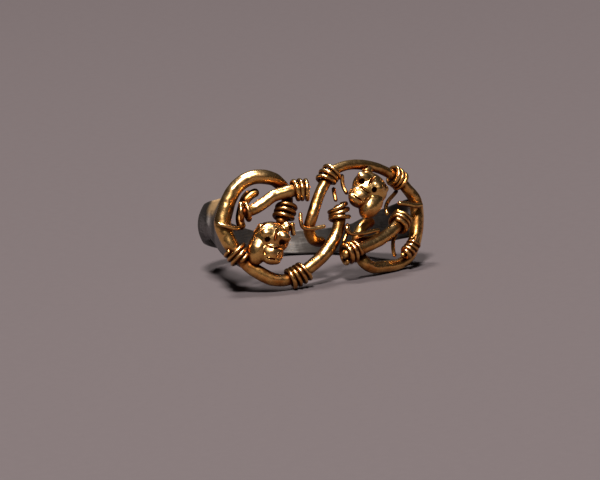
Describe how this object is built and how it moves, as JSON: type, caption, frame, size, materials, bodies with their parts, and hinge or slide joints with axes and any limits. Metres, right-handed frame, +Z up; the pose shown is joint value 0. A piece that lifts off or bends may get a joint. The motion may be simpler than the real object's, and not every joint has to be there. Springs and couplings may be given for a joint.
{
  "type": "finger ring",
  "caption": "Ancient finger ring: dull silver band with flared shoulders and an openwork gold bezel of looped wires with small beast heads, lying on its side.",
  "frame": {"origin": "middle of the ring's box, on the surface that the ring lies on", "axes": "+Z up; the bezel faces -Y and the back of the hoop is towards +Y; +X runs along the bezel; the finger hole runs about along Z, leaning by the tilt that the ring lies at"},
  "size_m": [0.0264, 0.0256, 0.0137],
  "materials": {
    "bright_gold": "polished, darkened in the hollows",
    "dull_silver": "satin, dark with dirt and tarnish"
  },
  "bodies": {
    "root": {"hoop": "dull_silver", "left_serpent_body": "bright_gold", "right_serpent_body": "bright_gold", "left_cross_bar": "bright_gold", "right_cross_bar": "bright_gold", "left_serpent_head": "bright_gold", "right_serpent_head": "bright_gold", "arch_strut_1": "bright_gold", "arch_strut_2": "bright_gold", "left_hook": "bright_gold", "left_inner_wire": "bright_gold", "left_middle_wire": "bright_gold", "left_tie": "bright_gold", "long_wire": "bright_gold", "neck_stub": "bright_gold", "right_hook": "bright_gold", "right_inner_wire": "bright_gold", "right_low_wire": "bright_gold", "right_strand": "bright_gold", "right_tie": "bright_gold", "right_upright": "bright_gold", "binding_left_bar_inner": "bright_gold", "binding_left_bar_outer": "bright_gold", "binding_left_bottom": "bright_gold", "binding_left_low": "bright_gold", "binding_left_neck": "bright_gold", "binding_right_arch_left": "bright_gold", "binding_right_arch_right": "bright_gold", "binding_right_bar_inner": "bright_gold", "binding_right_bar_outer": "bright_gold", "binding_right_inner": "bright_gold", "binding_waist": "bright_gold"}
  },
  "joints": []
}
